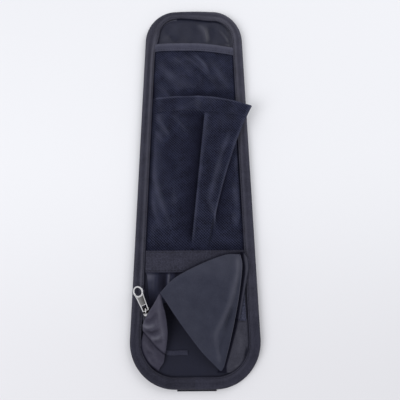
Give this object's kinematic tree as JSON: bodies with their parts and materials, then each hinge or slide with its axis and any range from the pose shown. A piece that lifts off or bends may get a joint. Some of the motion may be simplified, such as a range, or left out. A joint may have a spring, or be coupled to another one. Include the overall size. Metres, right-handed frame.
{
  "type": "car seat side organizer",
  "caption": "Long tapering flat organizer with edge binding, an upper and a middle mesh pocket, and a limp zipped pouch at its wide end.",
  "frame": {"origin": "underside of the back strap, on the organizer's long axis near its mid-length", "axes": "+X to the right across the front, +Y to the narrow upper end, +Z out of the front face, up as it lies on its back"},
  "size_m": [0.139, 0.4553, 0.0262],
  "materials": {
    "binding": "knitted edge binding, matt charcoal",
    "nylon": "thin coated nylon with a slight sheen, charcoal",
    "mesh": "fine twill-like mesh, matt, blue-black",
    "satin": "smooth satin polyester, soft sheen, charcoal",
    "oxford": "coarse plain weave, matt charcoal",
    "board": "stiffening board, hidden inside",
    "webbing": "woven strap, matt charcoal",
    "coil": "nylon zip coil",
    "metal": "bright nickel-plated zinc"
  },
  "bodies": {
    "organizer": {"back_strap": "webbing", "back_cover": "nylon", "stiffener_board": "board", "front_lining": "nylon", "edge_binding": "binding", "upper_pocket_mesh": "mesh", "upper_pocket_trim": "binding", "middle_pocket_mesh": "mesh", "pouch_band": "binding", "pouch_top_gusset": "nylon", "pouch_front_panel": "satin", "pouch_left_gusset": "satin", "pouch_corner_gusset": "satin", "pouch_right_gusset": "oxford", "pouch_side_facing": "binding", "pouch_seam_tape": "binding", "zip_tape_left": "nylon", "zip_coil_left": "coil", "zip_tape_right": "nylon"},
    "slider": {"zip_slider": "metal"},
    "pull": {"zip_pull": "metal"}
  },
  "joints": [
    {"name": "slider_slide", "type": "slide", "parent": "organizer", "child": "slider", "axis": [-0.0872, 0.9962, 0], "range_m": [0, 0.012]},
    {"name": "pull_hinge", "type": "hinge", "parent": "slider", "child": "pull", "pos_m": [-0.05213, -0.14585, 0.0142], "axis": [0.9063, 0.4226, 0], "range_deg": [0, 85]}
  ]
}
